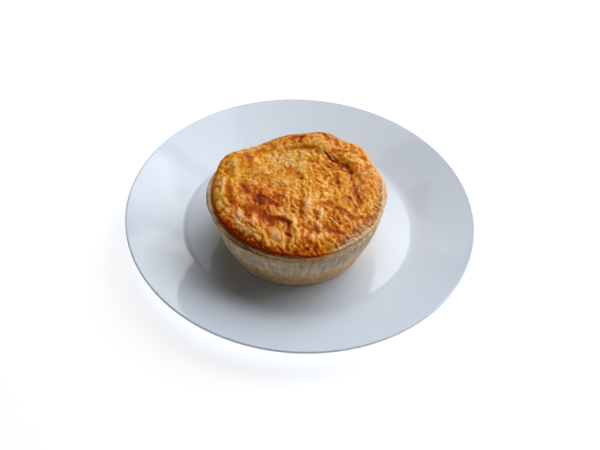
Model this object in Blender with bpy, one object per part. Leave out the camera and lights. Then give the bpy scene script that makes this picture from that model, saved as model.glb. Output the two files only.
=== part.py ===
"""A round individual chicken pot pie standing on its dinner plate.

Three solids, in metres, +Z up, with the origin under the middle of the plate:
plate         a white coupe plate with a flat well, a wide sloping rim and a foot ring
pastry_case   the pale shortcrust case, filled, with sloping sides and a rolled lip
pastry_lid    the browned puff-pastry lid, with an uneven edge and a blistered top
The front of the pie, its best side, faces -Y.
"""

import math

import bmesh
import bpy
from mathutils import Vector

MM = 0.001
SEGMENTS = 80  # facets round every turned shape
GAP = 0.3 * MM  # air between two solids that touch

# Plate
PLATE_RADIUS = 125 * MM
PLATE_FLOOR = 4.5 * MM  # height of the well's flat floor
BEND_START = 80 * MM  # radius where the flat floor turns up into the rim
BEND_END = 87 * MM
RIM_SLOPE = 0.366  # rise over run of the straight, wide rim
WALL_AT_FLOOR = 3.3 * MM
WALL_AT_EDGE = 2.6 * MM
FOOT_INNER = 66 * MM
FOOT_OUTER = 72 * MM
FOOT_HEIGHT = 1.2 * MM

# Pie, as a whole
PIE_X = -3.7 * MM  # the pie stands a little off the plate's middle
PIE_Y = -10.4 * MM
PIE_BOTTOM = PLATE_FLOOR + GAP

# Pastry case
CASE_FOOT_RADIUS = 48.4 * MM
CASE_FOOT_ROUND = 1.5 * MM
CASE_WALL_HEIGHT = 35.4 * MM  # from the bottom to the underside of the lip
CASE_FLARE = 10.3 * MM  # how far the wall spreads on the way up
CASE_FLARE_POWER = 1.6
LIP_OUT = 1.3 * MM  # how far the rolled lip stands out of the wall
LIP_THICK = 4.4 * MM

# Pastry lid
LID_RADIUS = 58.0 * MM
LID_EDGE_THICK = 3.4 * MM
LID_ROUND = 1.3 * MM  # rounding of the lid's upper edge
LID_DOME = 1.6 * MM  # rise of the lid's middle over its edge
RIM_RING_RADIUS = 44 * MM  # inside of the raised ring that lies on the case's wall
RIM_RING_SOFT = 3 * MM
RIM_RING_SINK = 1.5 * MM  # how far the middle lies below the ring, at the back

# Uneven round shapes: (angle in degrees from +X, half width in degrees, size in mm)
LID_LOBES = (
    (74, 12, 5.0),
    (48, 13, 5.6),
    (20, 14, 2.6),
    (97, 10, 1.4),
    (125, 11, -1.6),
    (158, 20, 1.6),
    (225, 26, -2.2),
    (283, 10, 2.0),
    (345, 24, 1.4),
)
LIP_LOBES = (
    (52, 28, 4.4),
    (122, 17, -1.4),
    (186, 20, 2.2),
    (10, 18, 3.0),
)
RIM_SWELLS = (
    (74, 13, 1.5),
    (47, 12, 2.2),
    (122, 20, -2.2),
    (180, 20, 0.6),
    (250, 30, -0.3),
    (10, 20, 1.2),
)
# Large blisters of the lid: (x, y, half length, half width in mm, turn in degrees, height in mm)
BLISTERS = (
    (-33, 27, 11, 7, 35, 0.9),
    (12, 50, 13, 5, -8, 1.2),
    (38, 30, 12, 6, -45, 1.1),
    (-42, -8, 9, 7, 80, 1.1),
    (-27, -38, 13, 7, -38, 1.3),
    (-6, -33, 6, 10, 25, 1.0),
    (10, -46, 14, 5, 3, 1.0),
    (30, -32, 12, 6, 42, 0.9),
    (7, -12, 10, 7, 15, 0.8),
    (-18, 4, 8, 5, -20, -0.9),
    (-11, -24, 5, 9, -35, -0.9),
    (22, 8, 9, 6, 60, -0.5),
)
CRACK_FROM = (18 * MM, 42 * MM)  # an open split beside the raised ring
CRACK_TO = (34 * MM, 31 * MM)
CRACK_WIDTH = 2.4 * MM
CRACK_DEPTH = 1.8 * MM


def smooth_step(value, low, high):
    """0 below low, 1 above high, and an S-shaped rise between."""
    share = min(1.0, max(0.0, (value - low) / (high - low)))
    return share * share * (3 - 2 * share)


def lobes(angle, table):
    """The sum of the table's smooth bumps at this angle, in metres."""
    total = 0.0
    for centre, half_width, size in table:
        away = (math.degrees(angle) - centre + 180) % 360 - 180
        total += size * MM * math.exp(-((away / half_width) ** 2))
    return total


def material(name, colour, roughness):
    made = bpy.data.materials.new(name)
    made.use_nodes = True
    shader = made.node_tree.nodes["Principled BSDF"]
    shader.inputs["Base Color"].default_value = (*colour, 1.0)
    shader.inputs["Roughness"].default_value = roughness
    shader.inputs["Metallic"].default_value = 0.0
    return made


def finish(name, mesh_in_progress, finish_material, place):
    """Turns a closed bmesh into a named object, with its faces pointing outwards."""
    bmesh.ops.recalc_face_normals(mesh_in_progress, faces=mesh_in_progress.faces)
    mesh = bpy.data.meshes.new(name)
    mesh_in_progress.to_mesh(mesh)
    mesh_in_progress.free()
    mesh.shade_smooth()
    mesh.set_sharp_from_angle(angle=math.radians(40))
    mesh.materials.append(finish_material)
    made = bpy.data.objects.new(name, mesh)
    made.location = place
    bpy.context.scene.collection.objects.link(made)
    return made


def stack_of_rings(rings):
    """A closed mesh through rings of points, with a fan of faces over the first and the last.

    Each ring is a function that gives the point at an angle.
    """
    mesh = bmesh.new()
    angles = [2 * math.pi * step / SEGMENTS for step in range(SEGMENTS)]
    loop_edges = []
    for ring in rings:
        points = [mesh.verts.new(ring(angle)) for angle in angles]
        pairs = zip(points, points[1:] + points[:1])
        loop_edges.append([mesh.edges.new(pair) for pair in pairs])
    for lower, upper in zip(loop_edges, loop_edges[1:]):
        bmesh.ops.bridge_loops(mesh, edges=lower + upper)
    for end in (loop_edges[0], loop_edges[-1]):
        cap = bmesh.ops.edgeloop_fill(mesh, edges=end)["faces"]
        bmesh.ops.poke(mesh, faces=cap)
    return mesh


def plate_top(radius):
    """Height of the plate's upper face."""
    bend = BEND_END - BEND_START
    share = min(1.0, max(0.0, (radius - BEND_START) / bend))
    run = bend * (share**3 - share**4 / 2) + max(0.0, radius - BEND_END)
    return PLATE_FLOOR + RIM_SLOPE * run


def plate_underside(radius):
    """Height of the plate's lower face, without its foot ring."""
    along = radius / PLATE_RADIUS
    return plate_top(radius) - WALL_AT_FLOOR + (WALL_AT_FLOOR - WALL_AT_EDGE) * along


def plate_profile():
    """The plate's half section, from the middle of the floor round the edge to the middle below."""
    edge_round = WALL_AT_EDGE / 2
    rim_end = PLATE_RADIUS - edge_round
    bend = BEND_END - BEND_START
    top_radii = [0, 30 * MM, 60 * MM, BEND_START]
    top_radii += [BEND_START + bend * step / 5 for step in range(1, 6)]
    top_radii += [BEND_END + (rim_end - BEND_END) * step / 2 for step in range(1, 3)]
    section = [(radius, plate_top(radius)) for radius in top_radii]
    edge_middle = (plate_top(rim_end) + plate_underside(rim_end)) / 2
    for step in range(1, 4):
        turn = math.pi / 2 - math.pi * step / 4
        section.append((rim_end + edge_round * math.cos(turn), edge_middle + edge_round * math.sin(turn)))
    below_radii = [rim_end, BEND_END + bend, BEND_END, BEND_END - 0.4 * bend, BEND_START, FOOT_OUTER + FOOT_HEIGHT]
    section += [(radius, plate_underside(radius)) for radius in below_radii]
    section += [(FOOT_OUTER, 0), (FOOT_INNER, 0)]
    section += [(FOOT_INNER - FOOT_HEIGHT, FOOT_HEIGHT), (0, FOOT_HEIGHT)]
    return section


def build_plate(finish_material):
    mesh = bmesh.new()
    points = [mesh.verts.new((radius, 0, height)) for radius, height in plate_profile()]
    edges = [mesh.edges.new(pair) for pair in zip(points, points[1:])]
    bmesh.ops.spin(
        mesh,
        geom=points + edges,
        cent=(0, 0, 0),
        axis=(0, 0, 1),
        angle=2 * math.pi,
        steps=SEGMENTS,
        use_merge=True,
    )
    bmesh.ops.remove_doubles(mesh, verts=mesh.verts, dist=0.001 * MM)
    bmesh.ops.dissolve_degenerate(mesh, edges=mesh.edges, dist=0.001 * MM)
    return finish("plate", mesh, finish_material, (0, 0, 0))


def case_wall_radius(height):
    """Radius of the case's side at a height above its bottom."""
    left = 1 - min(1.0, height / CASE_WALL_HEIGHT)
    return CASE_FOOT_RADIUS + CASE_FLARE * (1 - left**CASE_FLARE_POWER)


def rim_swell(angle, share):
    """How far the uneven rim lifts a point that lies share of the way from the middle to the rim."""
    return lobes(angle, RIM_SWELLS) * share * share


def seam_height(angle, share):
    """Height, over the pie's bottom, of the face where the lid lies on the case."""
    return CASE_WALL_HEIGHT + LIP_THICK + rim_swell(angle, share)


def ring_at(radius_of, height_of):
    """A ring whose radius and height, over the pie's bottom, are functions of the angle."""

    def point(angle):
        radius = radius_of(angle)
        return Vector((radius * math.cos(angle), radius * math.sin(angle), height_of(angle)))

    return point


def wall_ring(share):
    """A ring of the case's side, share of the way up to the lip."""
    height = CASE_WALL_HEIGHT * share
    return ring_at(
        lambda angle: case_wall_radius(height) + lobes(angle, LIP_LOBES) * share**2,
        lambda angle: height + rim_swell(angle, share),
    )


def lip_ring(out, up):
    """A ring of the rolled lip: out of the wall's top, and up over the lip's underside."""
    wall_top = CASE_FOOT_RADIUS + CASE_FLARE
    return ring_at(
        lambda angle: wall_top + out + lobes(angle, LIP_LOBES),
        lambda angle: CASE_WALL_HEIGHT + up + rim_swell(angle, 1),
    )


def seam_ring(share, lift):
    """A ring of the seam between case and lid, share of the way out to the lid's edge."""
    return ring_at(
        lambda angle: lid_radius(angle) * share,
        lambda angle: seam_height(angle, share) + lift,
    )


def build_case(finish_material):
    foot = CASE_FOOT_RADIUS
    rings = [
        ring_at(lambda angle: foot * 0.5, lambda angle: 0),
        ring_at(lambda angle: foot - CASE_FOOT_ROUND, lambda angle: 0),
        ring_at(lambda angle: foot - 0.2 * CASE_FOOT_ROUND, lambda angle: 0.5 * CASE_FOOT_ROUND),
    ]
    rings += [wall_ring(share) for share in (0.06, 0.24, 0.46, 0.68, 0.88, 0.97)]
    rings += [
        lip_ring(LIP_OUT * 0.7, 0),
        lip_ring(LIP_OUT, LIP_THICK * 0.4),
        lip_ring(LIP_OUT * 0.7, LIP_THICK * 0.85),
    ]
    rings += [seam_ring(share, 0) for share in (0.985, 0.8, 0.55, 0.25)]
    mesh = stack_of_rings(rings)
    return finish("pastry_case", mesh, finish_material, (PIE_X, PIE_Y, PIE_BOTTOM))


def lid_radius(angle):
    """Radius of the lid's uneven outline."""
    return LID_RADIUS + lobes(angle, LID_LOBES)


def crack_depth(x, y):
    """Depth of the split at a point of the lid, which fades out over its width and at its ends."""
    start = Vector(CRACK_FROM)
    along = Vector(CRACK_TO) - start
    reach = Vector((x, y)) - start
    share = min(1.0, max(0.0, reach.dot(along) / along.length_squared))
    away = (reach - along * share).length
    return CRACK_DEPTH * math.exp(-((away / CRACK_WIDTH) ** 2))


def blister_height(x, y):
    """What the large blisters add at a point of the lid."""
    total = 0.0
    for middle_x, middle_y, half_length, half_width, turn, height in BLISTERS:
        cosine = math.cos(math.radians(turn))
        sine = math.sin(math.radians(turn))
        off_x = x / MM - middle_x
        off_y = y / MM - middle_y
        along = (off_x * cosine + off_y * sine) / half_length
        across = (off_y * cosine - off_x * sine) / half_width
        total += height * MM * math.exp(-(along**2) - across**2)
    return total


def lid_top_height(angle, share):
    """Height, over the pie's bottom, of the lid's upper face, share of the way out to its edge."""
    radius = lid_radius(angle) * share
    x, y = radius * math.cos(angle), radius * math.sin(angle)
    dome = LID_DOME * (1 - share**2)
    inside_ring = 1 - smooth_step(radius, RIM_RING_RADIUS - RIM_RING_SOFT, RIM_RING_RADIUS + RIM_RING_SOFT)
    towards_back = smooth_step(y, -25 * MM, 25 * MM)
    sink = RIM_RING_SINK * inside_ring * towards_back
    relief = blister_height(x, y) - crack_depth(x, y)
    at_edge = 1 - smooth_step(share, 0.9, 1.0)
    return seam_height(angle, share) + LID_EDGE_THICK + dome - sink + relief * at_edge


def lid_top_ring(share):
    return ring_at(
        lambda angle: lid_radius(angle) * share,
        lambda angle: lid_top_height(angle, share) + GAP,
    )


def lid_edge_ring(inset, up):
    """A ring of the lid's edge: inset from its outline, and up over its underside."""
    return ring_at(
        lambda angle: lid_radius(angle) - inset,
        lambda angle: seam_height(angle, 1) + GAP + up,
    )


def build_lid(finish_material):
    rings = [seam_ring(share, GAP) for share in (0.25, 0.55, 0.8, 0.96)]
    rings += [
        lid_edge_ring(0.4 * MM, 0.7 * MM),
        lid_edge_ring(0, LID_EDGE_THICK * 0.45),
        lid_edge_ring(0.3 * LID_ROUND, LID_EDGE_THICK - 0.6 * LID_ROUND),
    ]
    shares = (0.975, 0.93, 0.86, 0.79, 0.72, 0.65, 0.56, 0.46, 0.35, 0.23, 0.1)
    rings += [lid_top_ring(share) for share in shares]
    mesh = stack_of_rings(rings)
    return finish("pastry_lid", mesh, finish_material, (PIE_X, PIE_Y, PIE_BOTTOM))


def main():
    for old in list(bpy.data.objects):
        bpy.data.objects.remove(old, do_unlink=True)
    build_plate(material("white_opal_glass", (0.80, 0.84, 0.89), 0.08))
    build_case(material("pale_shortcrust", (0.58, 0.44, 0.27), 0.75))
    build_lid(material("browned_puff_pastry", (0.58, 0.25, 0.045), 0.38))


main()
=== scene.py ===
import math
from functools import partial

import bmesh
import bpy
import numpy as np
from mathutils import Matrix, Vector


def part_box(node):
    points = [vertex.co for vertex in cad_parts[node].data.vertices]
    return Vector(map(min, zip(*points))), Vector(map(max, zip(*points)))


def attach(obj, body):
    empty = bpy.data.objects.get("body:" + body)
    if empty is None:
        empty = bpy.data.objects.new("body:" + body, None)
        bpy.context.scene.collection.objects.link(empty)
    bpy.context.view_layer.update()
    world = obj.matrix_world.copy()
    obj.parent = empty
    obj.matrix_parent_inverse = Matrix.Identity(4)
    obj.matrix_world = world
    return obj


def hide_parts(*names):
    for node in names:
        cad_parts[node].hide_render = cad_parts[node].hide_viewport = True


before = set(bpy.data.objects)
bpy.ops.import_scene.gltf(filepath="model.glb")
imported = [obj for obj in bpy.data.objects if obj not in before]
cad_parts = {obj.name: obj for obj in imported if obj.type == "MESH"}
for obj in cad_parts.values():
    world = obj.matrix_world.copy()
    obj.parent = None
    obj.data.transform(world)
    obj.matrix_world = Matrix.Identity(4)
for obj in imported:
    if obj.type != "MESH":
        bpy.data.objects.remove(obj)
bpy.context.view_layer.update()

mm = 0.001
scene = bpy.context.scene

# node helpers
def setSockets(tree, node, inputs):
    # the output of another node is linked, anything else is set as a value
    for label, value in inputs.items():
        if isinstance(value, bpy.types.NodeSocket):
            tree.links.new(value, node.inputs[label])
        else:
            node.inputs[label].default_value = value


def addNode(tree, kind, inputs=None, **settings):
    node = tree.nodes.new(kind)
    for label, value in settings.items():
        setattr(node, label, value)
    setSockets(tree, node, inputs or {})
    return node


def mathNode(tree, operation, *values, clamp=False):
    node = addNode(tree, "ShaderNodeMath", dict(enumerate(values)), operation=operation, use_clamp=clamp)
    return node.outputs[0]


def noiseNode(tree, where, scale, detail=3.0, rough=0.55, distortion=0.0):
    inputs = {"Vector": where, "Scale": scale, "Detail": detail, "Roughness": rough,
              "Distortion": distortion}
    return addNode(tree, "ShaderNodeTexNoise", inputs).outputs["Fac"]


def centredNoise(tree, where, scale, reach, **settings):
    # noise from -reach to reach
    return mathNode(tree, "MULTIPLY_ADD", noiseNode(tree, where, scale, **settings), 2 * reach, -reach)


def attributeNode(tree, label):
    return addNode(tree, "ShaderNodeAttribute", attribute_name=label).outputs["Fac"]


def bumpNode(tree, relief, strength, depth):
    bump = addNode(tree, "ShaderNodeBump", {"Height": relief, "Strength": strength, "Distance": depth})
    return bump.outputs["Normal"]


def mixNode(tree, share, first, second):
    inputs = {"Factor": share, "A": first, "B": second}
    return addNode(tree, "ShaderNodeMix", inputs, data_type="RGBA").outputs["Result"]


def rampNode(tree, value, stops):
    node = addNode(tree, "ShaderNodeValToRGB", {0: value})
    ramp = node.color_ramp
    while len(ramp.elements) > 1:
        ramp.elements.remove(ramp.elements[-1])
    ramp.elements[0].position = stops[0][0]
    ramp.elements[0].color = (*stops[0][1], 1)
    for place, colour in stops[1:]:
        ramp.elements.new(place).color = (*colour, 1)
    return node.outputs[0]


def aroundAxis(tree, turn, radius, height):
    # the place at this turn, radius and height
    x = mathNode(tree, "MULTIPLY", radius, mathNode(tree, "COSINE", turn))
    y = mathNode(tree, "MULTIPLY", radius, mathNode(tree, "SINE", turn))
    return addNode(tree, "ShaderNodeCombineXYZ", {"X": x, "Y": y, "Z": height}).outputs[0]


def nodeMaterial(name):
    made = bpy.data.materials.new(name)
    made.use_nodes = True
    return made, made.node_tree, made.node_tree.nodes["Principled BSDF"]


# the studio
studio = {
    "target": (-0.0001, 0.0019, 0.0),
    "distance": 0.65,
    "elevation": 46.85,
    "roll": 3.47,  # the camera is held a little crooked
    "lens": 52.9,
    "boxAway": 1.0,
    # soft boxes: turn in degrees from straight behind towards the right, height in degrees,
    # width and height in m, glow
    "boxes": ((60, 19, 1.2, 0.45, 3.2), (70, 45, 0.46, 0.46, 2.5), (40, 50, 0.62, 0.66, 1.6),
              (30, 70, 0.8, 0.45, 1.3), (30, 24, 0.5, 0.35, 1.6), (32, 40, 0.25, 0.5, 1.4),
              (18, 45, 0.14, 0.34, 2.1), (9, 28, 0.24, 0.30, 2.8), (-10, 68, 0.46, 0.46, 0.97),
              (85, 35, 0.2, 0.5, 1.4), (-18, 45, 0.15, 0.34, 1.1), (-130, 22, 0.46, 0.46, 0.6),
              (-12, 24, 0.4, 0.3, 0.48), (0, 36.5, 0.5, 0.1, 0.4)),
    "roomGlow": 0.01,
    "floorColour": (0.50, 0.50, 0.50),
    "floorGlow": 0.74,
    "floorHalf": 2.5,
    "floorDrop": 0.1 * mm,  # the floor lies this far under the foot ring
}


def pointAt(turn, height, away):
    # a place seen from the middle of the plate: turn is 0 straight behind and grows to the right
    turn, height = math.radians(turn), math.radians(height)
    level = math.cos(height)
    return Vector((math.sin(turn) * level, math.cos(turn) * level, math.sin(height))) * away


def addCamera():
    lens = bpy.data.cameras.new("camera")
    lens.lens = studio["lens"]
    lens.sensor_width = 36
    lens.clip_start = 0.01
    holder = bpy.data.objects.new("camera", lens)
    scene.collection.objects.link(holder)
    target = Vector(studio["target"])
    place = target + pointAt(180, studio["elevation"], studio["distance"])
    aim = (target - place).to_track_quat("-Z", "Y").to_matrix().to_4x4()
    roll = Matrix.Rotation(math.radians(studio["roll"]), 4, "Z")
    holder.matrix_world = Matrix.Translation(place) @ aim @ roll
    scene.camera = holder


def addSoftBox(turn, height, wide, tall, glow):
    lamp = bpy.data.lights.new("softBox", "AREA")
    lamp.shape = "RECTANGLE"
    lamp.size, lamp.size_y = wide, tall
    lamp.energy = glow * math.pi * wide * tall
    holder = bpy.data.objects.new("softBox", lamp)
    scene.collection.objects.link(holder)
    holder.location = pointAt(turn, height, studio["boxAway"])
    holder.rotation_euler = (-holder.location).to_track_quat("-Z", "Y").to_euler()
    holder.visible_camera = False


def addRoom():
    scene.view_settings.view_transform = "Standard"
    world = bpy.data.worlds.new("softRoom")
    world.use_nodes = True
    glow = {"Strength": studio["roomGlow"], "Color": (1, 1, 1, 1)}
    setSockets(world.node_tree, world.node_tree.nodes["Background"], glow)
    scene.world = world


def addFloor():
    sheet = bpy.data.meshes.new("floor")
    half = studio["floorHalf"]
    corners = [(-half, -half, 0), (half, -half, 0), (half, half, 0), (-half, half, 0)]
    sheet.from_pydata(corners, [], [(0, 1, 2, 3)])
    floor = bpy.data.objects.new("floor", sheet)
    floor.location.z = -studio["floorDrop"]
    scene.collection.objects.link(floor)
    paint, tree, shader = nodeMaterial("paleFloor")
    setSockets(tree, shader, {
        "Base Color": (*studio["floorColour"], 1),
        "Roughness": 0.9,
        "Specular IOR Level": 0.0,
        "Emission Color": (1, 1, 1, 1),
        "Emission Strength": studio["floorGlow"],
    })
    sheet.materials.append(paint)


addCamera()
addRoom()
for box in studio["boxes"]:
    addSoftBox(*box)
addFloor()
print("studio ready")


# random fields on arrays
def smoothStep(value, low, high):
    share = np.clip((value - low) / (high - low), 0, 1)
    return share * share * (3 - 2 * share)


def waveField(x, y, seed):
    # smooth random waves, about -1 to 1, one wave to every 2 units
    side = 128
    turns = np.random.default_rng(seed).uniform(0, 2 * math.pi, (side, side))
    left, below = np.floor(x).astype(int), np.floor(y).astype(int)
    dx, dy = x - left, y - below
    easeX = dx ** 3 * (dx * (dx * 6 - 15) + 10)
    easeY = dy ** 3 * (dy * (dy * 6 - 15) + 10)

    def corner(stepX, stepY):
        turn = turns[(left + stepX) % side, (below + stepY) % side]
        return np.cos(turn) * (dx - stepX) + np.sin(turn) * (dy - stepY)

    low = corner(0, 0) * (1 - easeX) + corner(1, 0) * easeX
    high = corner(0, 1) * (1 - easeX) + corner(1, 1) * easeX
    return 1.6 * (low * (1 - easeY) + high * easeY)


def cellField(x, y, seed):
    # distances to the nearest and the second nearest of scattered points, one point to a unit square
    side = 96
    rng = np.random.default_rng(seed)
    jitterX, jitterY = rng.uniform(0.1, 0.9, (2, side, side))
    left, below = np.floor(x).astype(int), np.floor(y).astype(int)
    nearest = np.full(x.shape, 9.0)
    second = np.full(x.shape, 9.0)
    for stepX in (-1, 0, 1):
        for stepY in (-1, 0, 1):
            cellX, cellY = left + stepX, below + stepY
            pointX = cellX + jitterX[cellX % side, cellY % side]
            pointY = cellY + jitterY[cellX % side, cellY % side]
            away = np.hypot(x - pointX, y - pointY)
            second = np.minimum(second, np.maximum(nearest, away))
            nearest = np.minimum(nearest, away)
    return nearest, second


# the pie's shape, in mm from the middle of its foot
pieShape = {
    "footRadius": 48.4,
    "footRound": 1.5,
    "wallHeight": 35.4,
    "flare": 10.3,
    "flarePower": 1.6,
    "lipOut": 1.3,
    "lipThick": 4.4,
    "lidRadius": 58.0,
    "lidThick": 3.4,
    "lidDome": 1.6,
    "lidGap": 0.3,
    "ringRadius": 44.0,
    "ringSoft": 3.0,
    "ringSink": 1.5,
    # angle in degrees, half width in degrees, size
    "lidLobes": ((74, 12, 5.0), (48, 13, 5.6), (20, 14, 2.6), (97, 10, 1.4), (125, 11, -1.6),
                 (154, 14, 3.0), (216, 24, 0.9), (240, 24, 0.6), (283, 10, 1.2), (345, 24, 1.4)),
    "lipLobes": ((52, 28, 4.4), (122, 17, -1.4), (182, 24, 4.0), (218, 20, 1.2), (10, 18, 3.0)),
    "wallLobes": ((228, 28, 1.4),),
    "rimSwells": ((74, 16, 2.6), (47, 12, 2.0), (122, 18, -2.2), (150, 10, 2.0), (180, 20, 0.6),
                  (250, 30, -0.3), (10, 20, 1.2)),
    # x, y, half length, half width, turn in degrees, height
    "blisters": ((-33, 27, 11, 7, 35, 0.9), (12, 50, 13, 5, -8, 1.2), (38, 30, 12, 6, -45, 1.1),
                 (-42, -8, 9, 7, 80, 1.1), (-27, -38, 13, 7, -38, 1.3), (-6, -33, 6, 10, 25, 1.0),
                 (10, -46, 14, 5, 3, 1.0), (30, -32, 12, 6, 42, 0.9), (7, -12, 10, 7, 15, 0.8),
                 (-18, 4, 8, 5, -20, -0.9), (-11, -24, 5, 9, -35, -0.9), (22, 8, 9, 6, 60, -0.5)),
}
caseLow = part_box("pastry_case")[0]
footPoints = [v.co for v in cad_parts["pastry_case"].data.vertices if v.co.z < caseLow.z + 0.05 * mm]
pieMiddle = sum(footPoints, Vector()) / len(footPoints)


def lobeSum(angle, table):
    total = np.zeros_like(angle)
    for centre, halfWidth, size in table:
        away = (np.degrees(angle) - centre + 180) % 360 - 180
        total += size * np.exp(-((away / halfWidth) ** 2))
    return total


def rimSwell(angle, share):
    return lobeSum(angle, pieShape["rimSwells"]) * share ** 2


def seamHeight(angle, share):
    return pieShape["wallHeight"] + pieShape["lipThick"] + rimSwell(angle, share)


def lidRadius(angle):
    return pieShape["lidRadius"] + lobeSum(angle, pieShape["lidLobes"])


def meshObject(name, points, faces, attributes):
    # points come in mm from the pie's foot
    points = np.asarray(points) * mm + np.array(pieMiddle)
    mesh = bpy.data.meshes.new(name)
    mesh.from_pydata(points.tolist(), [], faces)
    for label, values in attributes.items():
        layer = mesh.attributes.new(label, "FLOAT", "POINT")
        layer.data.foreach_set("value", np.asarray(values, dtype=np.float32))
    mesh.validate()
    mesh.shade_smooth()
    made = bpy.data.objects.new(name, mesh)
    scene.collection.objects.link(made)
    return made


def ringFaces(lower, upper):
    # quads between two rings of vertex numbers
    count = len(lower)
    return [(lower[k], lower[(k + 1) % count], upper[(k + 1) % count], upper[k]) for k in range(count)]


# the lid
lidLook = {
    "cells": 266,  # squares across the top
    "topShare": 0.965,  # the top's grid stops here, and the rounded edge goes on
    "edgeRows": 15,
    "ragged": 0.35,
    "bigCrest": 0.36,  # heights of the crests, in mm
    "midCrest": 0.15,
    "fineCrest": 0.05,
    "swell": 0.30,
    "rumple": 0.32,
    "baseBake": 0.32,
    "wrinkleBake": 0.42,
    "goldStops": ((0.0, (0.95, 0.67, 0.35)), (0.14, (0.93, 0.54, 0.155)), (0.30, (0.87, 0.395, 0.025)),
                  (0.44, (0.75, 0.262, 0.001)), (0.58, (0.57, 0.132, 0.0)), (0.72, (0.39, 0.048, 0.0)),
                  (0.86, (0.20, 0.014, 0.0)), (1.0, (0.07, 0.003, 0.0))),
    "blushStops": ((0.0, (0.93, 0.56, 0.34)), (0.14, (0.88, 0.43, 0.18)), (0.30, (0.80, 0.290, 0.035)),
                   (0.44, (0.68, 0.160, 0.006)), (0.58, (0.50, 0.065, 0.0)), (0.72, (0.33, 0.022, 0.0)),
                   (0.86, (0.18, 0.008, 0.0)), (1.0, (0.07, 0.003, 0.0))),
    # the dry crust without glaze
    "bareStops": ((0.0, (0.82, 0.64, 0.45)), (0.30, (0.62, 0.37, 0.19)), (0.55, (0.38, 0.155, 0.04)),
                  (1.0, (0.08, 0.03, 0.01))),
    "goldenToBrown": (0.3, 0.8),  # over these brownings the roughness grows
    "roughness": (0.20, 0.34),
    "bareRoughness": 0.3,  # what the bare crust adds
    "ior": 1.45,
    "shine": 0.45,
    "glazeTint": (1.0, 0.52, 0.06),
    "glow": 0.35,  # light let through the crust
    "glowReach": (1.0, 0.45, 0.15),
    "glowDepth": 1.6,
    "blotch": (340, 0.13),  # noise scale and how far it moves the browning
    "speck": (1300, 0.06),
    "grain": 1500,  # noise scale of the finest relief
    "bump": (0.15, 0.12 * mm),  # its strength and depth
}
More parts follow.
